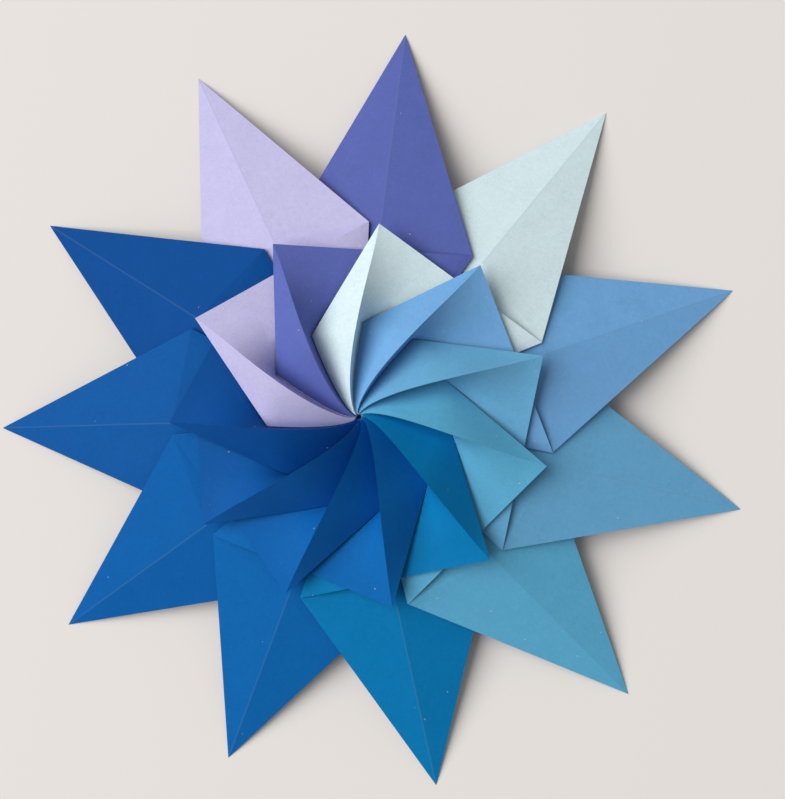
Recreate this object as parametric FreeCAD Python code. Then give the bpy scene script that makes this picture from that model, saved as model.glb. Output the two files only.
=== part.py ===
import FreeCAD, Part
import math
import os

# Modular origami star of eleven folded paper sheets, in millimetres.
# Each sheet is one solid: an outer point with a centre crease, a long corner folded
# beneath it, and a flap folded back over it whose raised ridge runs to the middle.
# The star's axis is Z and it rests on its points at Z = 0.

dimensions = [
    ("unitCount", 11),
    ("firstTurn", 84.2),
    ("tipRadius", 88.2),
    ("pocketRadius", 43.9),
    ("pocketLap", 3.5),
    ("pocketHeight", 11.0),
    ("flapRadius", 43.2),
    ("flapLap", 0.4),
    ("flapLift", 2.4),
    ("springHeight", 1.6),
    ("springTurn", 8.0),
    ("centreRise", 3.0),
    ("centreHole", 0.85),
    ("ridgeArch", 7.0),
    ("ridgeBow", 2.4),
    ("meetRadius", 21.0),
    ("wallWidth", 0.16),
    ("tuckDrop", 2.2),
    ("backFold", 66.0),
    ("cornerReach", 45.0),
    ("cornerInset", 0.04),
    ("paper", 0.12),
    ("clearance", 0.15),
]

# Sheet names run clockwise seen from above, starting at the point nearest the top.
colours = ["indigo", "mint", "cornflower", "sky", "teal", "cerulean",
           "azure", "blue", "royal", "ultramarine", "lilac"]

rowsInside = 10
rowsOutside = 10

doc = FreeCAD.newDocument("OrigamiStar")
sheet = doc.addObject("Spreadsheet::Sheet", "Dimensions")
for row, (name, value) in enumerate(dimensions, start=1):
    sheet.set("A%d" % row, name)
    sheet.set("B%d" % row, str(value))
    sheet.setAlias("B%d" % row, name)
doc.recompute()

unitCount = int(sheet.unitCount)
pitch = 360.0 / unitCount
pocketTurn = -(pitch - sheet.pocketLap)
flapTurn = pitch - sheet.flapLap
paper = sheet.paper
flapStep = paper + sheet.clearance
backStep = 2 * paper + sheet.clearance


def polar(radius, turn):
    angle = math.radians(turn)
    return FreeCAD.Vector(radius * math.cos(angle), radius * math.sin(angle), 0)


def turnOf(point):
    return math.degrees(math.atan2(point.y, point.x))


def between(start, end, share):
    return start + (end - start) * share


def rotated(point, turn):
    return FreeCAD.Rotation(FreeCAD.Vector(0, 0, 1), turn).multVec(point)


def atHeight(point, height):
    return FreeCAD.Vector(point.x, point.y, height)


def crossing(a, b, c, d):
    # plan point where the line a-b meets the line c-d
    along = b - a
    other = d - c
    area = along.x * other.y - along.y * other.x
    share = ((c.x - a.x) * other.y - (c.y - a.y) * other.x) / area
    return between(a, b, share)


# Heights. All sheets nest round the star, so a layer rises or falls by one step
# for each neighbour it passes, counted from its own fold.

def foldHeight(radius):
    return sheet.pocketHeight + sheet.centreRise * (1 - radius / sheet.pocketRadius)


def sheetsPassed(turn):
    return (turn - pocketTurn) / pitch


def flapHeight(point):
    # the flap springs up from its fold, most at the rim, and levels off
    radius = math.hypot(point.x, point.y)
    turn = turnOf(point)
    opened = 1 - math.exp((pocketTurn - turn) / sheet.springTurn)
    spring = sheet.springHeight * radius / sheet.pocketRadius * opened
    return foldHeight(radius) + flapStep * (0.5 + sheetsPassed(turn)) + spring


def backHeight(point):
    radius = math.hypot(point.x, point.y)
    turn = turnOf(point)
    tuck = sheet.tuckDrop * radius / sheet.flapRadius * max(0.0, turn / flapTurn)
    return foldHeight(radius) - 0.5 * flapStep - backStep * sheetsPassed(turn) - tuck


def onFlap(point):
    return atHeight(point, flapHeight(point))


def onBack(point):
    return atHeight(point, backHeight(point))


tip = polar(sheet.tipRadius, 0)
pocketCorner = polar(sheet.pocketRadius, pocketTurn)
flapCorner = polar(sheet.flapRadius, flapTurn)
neighbourCorner = rotated(flapCorner, -pitch)


def hump(share, rise, fall):
    # smooth curve from 0 up to 1 and back to 0, steeper where the power is lower
    top = rise / (rise + fall)
    return (share / top) ** rise * ((1 - share) / (1 - top)) ** fall


def ridgePlan(share):
    # the ridge leaves the middle sideways and bends round to the flap's corner
    side = FreeCAD.Vector(-flapCorner.y, flapCorner.x, 0).normalize()
    return flapCorner * share + side * (sheet.ridgeBow * hump(share, 0.5, 1.5))


# Rows run from the hole in the middle out to the edge, closer together where the
# ridge turns fastest, with one row where the free edge meets the neighbour's ridge.

def rowShares():
    start = 0.001
    while ridgePlan(start).Length < sheet.centreHole:
        start += 0.001
    meet = sheet.meetRadius / sheet.flapRadius
    inside = [start + (meet - start) * (n / rowsInside) ** 1.4 for n in range(rowsInside)]
    outside = [meet + (1 - meet) * n / rowsOutside for n in range(rowsOutside + 1)]
    return inside + outside


shares = rowShares()
meetRow = rowsInside


def ridgeColumn():
    column = []
    for share in shares:
        point = ridgePlan(share)
        rise = sheet.flapLift * share ** 2 + sheet.ridgeArch * hump(share, 1.1, 1.5)
        column.append(atHeight(point, flapHeight(point) + rise))
    return column


def shiftedClockwise(point, distance):
    side = FreeCAD.Vector(point.y, -point.x, 0).normalize()
    return point + side * distance


def landingColumn(ridge):
    # foot of the steep wall under the ridge, then the line that the neighbour's
    # free edge lies over, out to the flap's long edge
    foot = [shiftedClockwise(atHeight(p, 0), sheet.wallWidth) for p in ridge[:meetRow + 1]]
    meet = foot[-1]
    end = crossing(meet, neighbourCorner, pocketCorner, flapCorner)
    rest = [between(meet, end, n / rowsOutside) for n in range(1, rowsOutside + 1)]
    return [onFlap(p) for p in foot + rest]


def freeEdgeColumn(landing):
    inner = []
    for point in landing[:meetRow + 1]:
        moved = shiftedClockwise(point, flapStep)
        inner.append(rotated(atHeight(moved, point.z + flapStep), pitch))
    corner = atHeight(flapCorner, flapHeight(flapCorner) + sheet.flapLift)
    outer = [between(inner[-1], corner, n / rowsOutside) for n in range(1, rowsOutside + 1)]
    return inner + outer


def radialColumn(end, height):
    start = end * (sheet.centreHole / end.Length)
    reach = (1 - shares[0])
    return [height(between(start, end, (share - shares[0]) / reach)) for share in shares]


def every(column, step):
    return column[::step]


def blended(first, last, share, power=1.0):
    # column between two others, sagging below the straight line where power is over 1
    column = []
    for a, b in zip(first, last):
        height = a.z + (b.z - a.z) * share ** power
        column.append(atHeight(between(a, b, share), height))
    return column


def flapColumns():
    # from the fold, across the face that the neighbour covers, up the ridge and
    # down the steep face on its far side to the free edge
    fold = radialColumn(pocketCorner, onFlap)
    ridge = ridgeColumn()
    landing = landingColumn(ridge)
    freeEdge = freeEdgeColumn(landing)
    sprung, quarter, half, most = [[onFlap(p) for p in blended(fold, landing, share)]
                                   for share in (0.08, 0.22, 0.45, 0.72)]
    covered = [every(fold, 10), every(sprung, 5), every(quarter, 5), every(half, 2),
               most, landing]
    rising = [blended(landing, ridge, n / 3, 1.25) for n in (1, 2)] + [ridge]
    falling = [blended(ridge, freeEdge, n / 3) for n in (1, 2)] + [freeEdge]
    return covered + rising + falling


def backCorner():
    # inner end of the fold along the point's left side
    left = atHeight(flapCorner, 0) - tip
    return tip + left * (sheet.backFold / left.Length)


def backColumns():
    ends = [backCorner(), flapCorner, polar(sheet.pocketRadius, 0), pocketCorner]
    return [every(radialColumn(end, onBack), 10) for end in ends]


def laced(first, second):
    # facets between two columns, whatever number of points each has
    facets = []
    i = j = 0
    while i < len(first) - 1 or j < len(second) - 1:
        nextFirst = (i + 1) / (len(first) - 1)
        nextSecond = (j + 1) / (len(second) - 1)
        if nextFirst < nextSecond or j == len(second) - 1:
            facets.append((first[i], first[i + 1], second[j]))
            i += 1
        else:
            facets.append((first[i], second[j + 1], second[j]))
            j += 1
    return facets


def strips(columns):
    facets = []
    for first, second in zip(columns, columns[1:]):
        facets += laced(first, second)
    return facets


def outerPoint(columns):
    far, left, crease, fold = [column[-1] for column in columns]
    return [(far, tip, left), (left, tip, crease), (crease, tip, fold)]


# A folded sheet is a surface of flat facets given the paper's thickness.

def key(point):
    return (round(point.x, 5), round(point.y, 5), round(point.z, 5))


def indexed(facets):
    points = []
    numbers = {}
    indices = []
    for facet in facets:
        corners = []
        for point in facet:
            name = key(point)
            if name not in numbers:
                numbers[name] = len(points)
                points.append(point)
            corners.append(numbers[name])
        if len(set(corners)) == 3:
            indices.append(tuple(corners))
    return points, indices


def mitre(normals, distance):
    # shift that moves a corner the same distance off each facet that meets there
    soft = 1e-4 * len(normals)
    xx = sum(n.x * n.x for n in normals) + soft
    yy = sum(n.y * n.y for n in normals) + soft
    zz = sum(n.z * n.z for n in normals) + soft
    xy = sum(n.x * n.y for n in normals)
    xz = sum(n.x * n.z for n in normals)
    yz = sum(n.y * n.z for n in normals)
    total = FreeCAD.Vector(0, 0, 0)
    for normal in normals:
        total = total + normal * distance
    spread = FreeCAD.Matrix(xx, xy, xz, 0, xy, yy, yz, 0, xz, yz, zz, 0, 0, 0, 0, 1)
    return spread.inverse().multiply(total)


def thickened(facets):
    points, indices = indexed(facets)
    normals = [[] for point in points]
    edges = {}
    for a, b, c in indices:
        normal = (points[b] - points[a]).cross(points[c] - points[a]).normalize()
        for corner in (a, b, c):
            normals[corner].append(normal)
        for edge in ((a, b), (b, c), (c, a)):
            edges[edge] = True
    front = []
    rear = []
    for point, around in zip(points, normals):
        shift = mitre(around, paper / 2)
        front.append(point + shift)
        rear.append(point - shift)
    triangles = [(front[a], front[b], front[c]) for a, b, c in indices]
    triangles += [(rear[a], rear[c], rear[b]) for a, b, c in indices]
    for a, b in edges:
        if (b, a) not in edges:
            triangles.append((front[a], rear[a], rear[b]))
            triangles.append((front[a], rear[b], front[b]))
    faces = [Part.Face(Part.makePolygon([a, b, c, a])) for a, b, c in triangles]
    shell = Part.makeShell(faces)
    shell.sewShape()
    solid = Part.makeSolid(shell)
    if solid.Volume < 0:
        solid.reverse()
    return solid


def foldedCorner(back):
    # the sheet's corner, folded beneath the point along its left side, kept inside
    # the point's own edges by a small share
    reach = (pocketCorner - tip).normalize() * sheet.cornerReach
    corners = [tip, backCorner(), tip + reach]
    middle = (corners[0] + corners[1] + corners[2]) / 3
    outline = [atHeight(between(p, middle, sheet.cornerInset), -sheet.pocketHeight)
               for p in corners]
    floor = Part.Face(Part.makePolygon(outline + outline[:1]))
    column = floor.extrude(FreeCAD.Vector(0, 0, 4 * sheet.pocketHeight))
    corner = back.common(column)
    corner.translate(FreeCAD.Vector(0, 0, -0.9 * paper))
    return corner


def foldedSheet():
    backs = backColumns()
    backFacets = strips(backs) + outerPoint(backs)
    flapFacets = strips([backs[-1]] + flapColumns())
    whole = thickened(backFacets + flapFacets)
    return whole.fuse(foldedCorner(thickened(backFacets)))


unit = foldedSheet()
seat = FreeCAD.Vector(0, 0, -unit.BoundBox.ZMin)
os.makedirs("parts", exist_ok=True)
nodes = []
for number in range(unitCount):
    colour = colours[number % len(colours)]
    lap = number // len(colours)
    name = "sheet_" + colour + ("_%d" % (lap + 1) if lap else "")
    node = doc.addObject("Part::Feature", name)
    node.Label = name
    node.Shape = unit
    turn = FreeCAD.Rotation(FreeCAD.Vector(0, 0, 1), sheet.firstTurn - pitch * number)
    node.Placement = FreeCAD.Placement(seat, turn)
    nodes.append(node)
doc.recompute()

for node in nodes:
    if "Invalid" in node.State or "Error" in node.State:
        raise RuntimeError(node.Label + " did not compute")
    if node.Shape.isNull() or not node.Shape.isValid():
        raise RuntimeError(node.Label + " has no valid shape")
    node.Shape.exportStep("parts/%s.step" % node.Label)
    print(node.Label, len(node.Shape.Faces), round(node.Shape.Volume, 1))
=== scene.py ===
import math

import bpy
from mathutils import Matrix, Vector

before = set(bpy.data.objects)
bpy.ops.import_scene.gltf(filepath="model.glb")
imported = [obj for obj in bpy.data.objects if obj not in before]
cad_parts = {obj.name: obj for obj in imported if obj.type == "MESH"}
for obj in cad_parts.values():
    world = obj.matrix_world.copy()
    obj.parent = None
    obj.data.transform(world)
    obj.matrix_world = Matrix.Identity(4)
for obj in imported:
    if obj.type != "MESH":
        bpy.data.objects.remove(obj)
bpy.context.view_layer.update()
mm = 0.001


def linearColour(hexText):
    channels = []
    for start in (0, 2, 4):
        value = int(hexText[start:start + 2], 16) / 255
        channels.append(value / 12.92 if value <= 0.04045 else ((value + 0.055) / 1.055) ** 2.4)
    return (*channels, 1.0)


def addNode(tree, kind, settings=None, links=None):
    node = tree.nodes.new(kind)
    for name, value in (settings or {}).items():
        if isinstance(name, str) and hasattr(node, name):
            setattr(node, name, value)
        else:
            node.inputs[name].default_value = value
    for name, source in (links or {}).items():
        tree.links.new(source, node.inputs[name])
    return node


def newMaterial(name):
    material = bpy.data.materials.new(name)
    material.use_nodes = True
    material.node_tree.nodes.clear()
    return material, material.node_tree


# Each sheet's dye.
paperColours = {
    "sheet_indigo": "5A67AF",
    "sheet_mint": "D4E8EC",
    "sheet_cornflower": "70A7D9",
    "sheet_sky": "67A8D0",
    "sheet_teal": "5CABD0",
    "sheet_cerulean": "0078B4",
    "sheet_azure": "0464AD",
    "sheet_blue": "035DA7",
    "sheet_royal": "08569F",
    "sheet_ultramarine": "024A92",
    "sheet_lilac": "C2BDE3",
}

# A tone is a share of the dye's colour, the white added to it, and that white's tint.
paper = {
    "roughness": 0.72,
    "ior": 1.45,
    "specular": 0.12,       # uncoated, so hardly any gloss
    "mottleSize": 6.0,      # mm
    "fibreLength": 0.9,     # mm
    "fibreBend": 1.5,
    "toothSize": 0.25,      # mm
    "toothDepth": 0.02,     # mm
    "toothStrength": 0.25,
    "rampEnds": (0.45, 1.05),
    "darkTone": (0.93, 0.0),
    "paleTone": (1.07, 0.001),
    "creaseStart": 43.9,    # mm from the star's axis, where the point's crease begins
    "creaseHalf": 0.09,     # mm to each side that the line is at its full strength
    "creaseFade": 0.225,    # mm to each side where it is gone
    # the crease line's colour: worn dye on the dark papers, painted shade of the fold on the pale
    # ones
    "creaseWearAndShadeTone": (0.86, 0.045, (0.5, 0.9, 1.1)),
    "speckSpacing": 5.0,    # mm
    "speckRadius": 0.22,    # mm
    "speckTone": (0.6, 0.3),
}


def tone(colour, share, white, tint=(1.0, 1.0, 1.0)):
    return (*(min(1.0, c * share + white * t) for c, t in zip(colour, tint)), 1.0)


def creaseMask(tree, where, turn):
    # fine line along the middle of the outer point, 1 on the line and 0 beside it
    turned = addNode(tree, "ShaderNodeMapping", {"Rotation": (0, 0, -turn)},
                     {"Vector": where.outputs["Object"]})
    place = addNode(tree, "ShaderNodeSeparateXYZ", links={"Vector": turned.outputs["Vector"]})
    aside = addNode(tree, "ShaderNodeMath", {"operation": "ABSOLUTE"}, {0: place.outputs["Y"]})
    line = addNode(tree, "ShaderNodeMapRange",
                   {"From Min": paper["creaseHalf"] * mm, "From Max": paper["creaseFade"] * mm,
                    "To Min": 1.0, "To Max": 0.0},
                   {"Value": aside.outputs[0]})
    beyond = addNode(tree, "ShaderNodeMath",
                     {"operation": "GREATER_THAN", 1: paper["creaseStart"] * mm},
                     {0: place.outputs["X"]})
    return addNode(tree, "ShaderNodeMath", {"operation": "MULTIPLY"},
                   {0: line.outputs["Result"], 1: beyond.outputs[0]})


def speckMask(tree, where):
    # a few pale fibre specks
    cells = addNode(tree, "ShaderNodeTexVoronoi", {"Scale": 1 / (paper["speckSpacing"] * mm)},
                    {"Vector": where.outputs["Object"]})
    edge = paper["speckRadius"] / paper["speckSpacing"]
    return addNode(tree, "ShaderNodeMapRange",
                   {"From Min": 0.5 * edge, "From Max": edge, "To Min": 1.0, "To Max": 0.0},
                   {"Value": cells.outputs["Distance"]})


def paperMaterial(name, hexText, turn):
    # Dyed origami paper, pressed and uncoated: matte, with short fibres, a slightly
    # cloudy formation, a fine tooth, and a line along the crease that is worn dye where
    # it is paler, and painted shade of the fold where it is darker on the pale papers.
    material, tree = newMaterial(name)
    colour = linearColour(hexText)
    where = addNode(tree, "ShaderNodeTexCoord")
    cloud = addNode(tree, "ShaderNodeTexNoise",
                    {"Scale": 1 / (paper["mottleSize"] * mm), "Detail": 3.0, "Roughness": 0.6},
                    {"Vector": where.outputs["Object"]})
    fibre = addNode(tree, "ShaderNodeTexNoise",
                    {"Scale": 1 / (paper["fibreLength"] * mm), "Detail": 2.0,
                     "Distortion": paper["fibreBend"]},
                    {"Vector": where.outputs["Object"]})
    mixed = addNode(tree, "ShaderNodeMath", {"operation": "MULTIPLY_ADD", 1: 0.5},
                    {0: cloud.outputs["Fac"], 2: fibre.outputs["Fac"]})
    ramp = addNode(tree, "ShaderNodeValToRGB", links={"Fac": mixed.outputs[0]})
    dark, pale = ramp.color_ramp.elements
    dark.position, pale.position = paper["rampEnds"]
    dark.color = tone(colour, *paper["darkTone"])
    pale.color = tone(colour, *paper["paleTone"])
    tooth = addNode(tree, "ShaderNodeTexNoise",
                    {"Scale": 1 / (paper["toothSize"] * mm), "Detail": 2.0},
                    {"Vector": where.outputs["Object"]})
    bump = addNode(tree, "ShaderNodeBump",
                   {"Strength": paper["toothStrength"], "Distance": paper["toothDepth"] * mm},
                   {"Height": tooth.outputs["Fac"]})
    # the crease line: worn dye where it is paler, painted shade of the fold where it is darker
    # a colour mix takes its colours at sockets 6 and 7 and gives its result at 2
    wornAndShadedCrease = addNode(tree, "ShaderNodeMix",
                      {"data_type": "RGBA", 7: tone(colour, *paper["creaseWearAndShadeTone"])},
                      {0: creaseMask(tree, where, turn).outputs[0], 6: ramp.outputs["Color"]})
    flecked = addNode(tree, "ShaderNodeMix",
                      {"data_type": "RGBA", 7: tone(colour, *paper["speckTone"])},
                      {0: speckMask(tree, where).outputs["Result"], 6: wornAndShadedCrease.outputs[2]})
    shader = addNode(tree, "ShaderNodeBsdfPrincipled",
                     {"Roughness": paper["roughness"], "IOR": paper["ior"],
                      "Specular IOR Level": paper["specular"]},
                     {"Base Color": flecked.outputs[2], "Normal": bump.outputs["Normal"]})
    addNode(tree, "ShaderNodeOutputMaterial", links={"Surface": shader.outputs["BSDF"]})
    return material


folds = {
    "angle": 28.0,          # degrees: a sharper turn than this is a fold
    "longEdge": 15.0,       # mm: a straight edge longer than this is a fold at any turn
    "weld": 0.001,          # mm between corners that are one
}


def crispFolds():
    # Shades the curved faces smoothly and keeps every fold and edge crisp.
    tree = bpy.data.node_groups.new("crispFolds", "GeometryNodeTree")
    tree.interface.new_socket("Mesh", in_out="INPUT", socket_type="NodeSocketGeometry")
    tree.interface.new_socket("Mesh", in_out="OUTPUT", socket_type="NodeSocketGeometry")
    start = addNode(tree, "NodeGroupInput")
    angle = addNode(tree, "GeometryNodeInputMeshEdgeAngle")
    blunt = addNode(tree, "FunctionNodeCompare",
                    {"operation": "LESS_EQUAL", 1: math.radians(folds["angle"])},
                    {0: angle.outputs["Unsigned Angle"]})
    ends = addNode(tree, "GeometryNodeInputMeshEdgeVertices")
    length = addNode(tree, "ShaderNodeVectorMath", {"operation": "DISTANCE"},
                     {0: ends.outputs["Position 1"], 1: ends.outputs["Position 2"]})
    short = addNode(tree, "FunctionNodeCompare",
                    {"operation": "LESS_EQUAL", 1: folds["longEdge"] * mm},
                    {0: length.outputs["Value"]})
    soft = addNode(tree, "FunctionNodeBooleanMath", {"operation": "AND"},
                   {0: blunt.outputs["Result"], 1: short.outputs["Result"]})
    faces = addNode(tree, "GeometryNodeSetShadeSmooth", {"domain": "FACE"},
                    {"Geometry": start.outputs["Mesh"]})
    edges = addNode(tree, "GeometryNodeSetShadeSmooth", {"domain": "EDGE"},
                    {"Geometry": faces.outputs["Geometry"], "Shade Smooth": soft.outputs["Boolean"]})
    addNode(tree, "NodeGroupOutput", links={"Mesh": edges.outputs["Geometry"]})
    return tree


def pointTurn(sheet):
    # the way that the sheet's outer point faces, from the corner farthest out
    tip = max((corner.co for corner in sheet.data.vertices), key=lambda place: place.xy.length)
    return math.atan2(tip.y, tip.x)


def dressSheets():
    foldNodes = crispFolds()
    for name, hexText in paperColours.items():
        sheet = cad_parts[name]
        weld = sheet.modifiers.new("joinFacets", "WELD")
        weld.merge_threshold = folds["weld"] * mm
        crisp = sheet.modifiers.new("crispFolds", "NODES")
        crisp.node_group = foldNodes
        material = paperMaterial(name.replace("sheet_", "") + "Paper", hexText, pointTurn(sheet))
        sheet.data.materials.clear()
        sheet.data.materials.append(material)
    print("sheets dressed:", len(paperColours))


board = {
    "width": 4000.0,        # mm
    "colour": "E9E4DF",
    "roughness": 0.9,
    "specular": 0.1,
}


def makeFloor():
    # Painted board: pale, warm and matte, so that it shows only the star's shadow.
    bpy.ops.mesh.primitive_plane_add(size=board["width"] * mm)
    plane = bpy.context.object
    plane.name = "paleFloor"
    material, tree = newMaterial("paleBoard")
    shader = addNode(tree, "ShaderNodeBsdfPrincipled",
                     {"Base Color": linearColour(board["colour"]), "Roughness": board["roughness"],
                      "Specular IOR Level": board["specular"]})
    addNode(tree, "ShaderNodeOutputMaterial", links={"Surface": shader.outputs["BSDF"]})
    plane.data.materials.append(material)
    print("floor made")


light = {
    "keyAzimuth": 167.0,    # degrees anticlockwise from +X, seen from above
    "keyElevation": 49.0,   # degrees
    "keyDistance": 3.0,     # m
    "keySize": 3.0,         # m
    "keyPower": 107.0,      # W
    "worldStrength": 0.27,
}


def makeWorld():
    # an even white glow on the paper, and the board's own pale colour behind it
    world = bpy.data.worlds.new("softStudio")
    bpy.context.scene.world = world
    world.use_nodes = True
    tree = world.node_tree
    tree.nodes.clear()
    glow = addNode(tree, "ShaderNodeBackground",
                   {"Color": (1, 1, 1, 1), "Strength": light["worldStrength"]})
    backdrop = addNode(tree, "ShaderNodeBackground", {"Color": linearColour(board["colour"])})
    path = addNode(tree, "ShaderNodeLightPath")
    seen = addNode(tree, "ShaderNodeMixShader",
                   links={0: path.outputs["Is Camera Ray"], 1: glow.outputs["Background"],
                          2: backdrop.outputs["Background"]})
    addNode(tree, "ShaderNodeOutputWorld", links={"Surface": seen.outputs["Shader"]})
    print("world made")


def makeLamp():
    azimuth = math.radians(light["keyAzimuth"])
    elevation = math.radians(light["keyElevation"])
    towards = Vector((math.cos(azimuth) * math.cos(elevation),
                      math.sin(azimuth) * math.cos(elevation),
                      math.sin(elevation)))
    lamp = bpy.data.lights.new("windowLight", "AREA")
    lamp.shape = "SQUARE"
    lamp.size = light["keySize"]
    lamp.energy = light["keyPower"]
    key = bpy.data.objects.new("windowLight", lamp)
    bpy.context.scene.collection.objects.link(key)
    key.location = towards * light["keyDistance"]
    key.rotation_euler = towards.to_track_quat("Z", "Y").to_euler()
    print("lamp made")


# The camera looks down on the star and leans a little towards its right and far side.
camera = {
    "height": 350.0,        # mm from the star's foot, along the view
    "across": 5.88,         # mm that the star sits left of the view's middle
    "along": 3.42,          # mm that the star sits below the view's middle
    "leanBack": 1.61,       # degrees
    "leanSide": -6.28,      # degrees
    "focalPixels": 1498.0,
    "imageHeight": 799,     # pixels, the longer side
    "sensor": 36.0,         # mm
    "clipStart": 10.0,      # mm
}


def makeCamera():
    lens = bpy.data.cameras.new("overhead")
    lens.sensor_width = camera["sensor"]
    lens.lens = camera["focalPixels"] / camera["imageHeight"] * camera["sensor"]
    lens.clip_start = camera["clipStart"] * mm
    view = bpy.data.objects.new("overhead", lens)
    bpy.context.scene.collection.objects.link(view)
    lean = (Matrix.Rotation(math.radians(camera["leanBack"]), 4, "X")
            @ Matrix.Rotation(math.radians(camera["leanSide"]), 4, "Y"))
    place = Vector((camera["across"], camera["along"], camera["height"])) * mm
    view.matrix_world = lean.inverted() @ Matrix.Translation(place)
    bpy.context.scene.camera = view
    print("camera made")


bpy.context.scene.view_settings.view_transform = "Standard"
dressSheets()
makeFloor()
makeWorld()
makeLamp()
makeCamera()

bpy.context.view_layer.update()
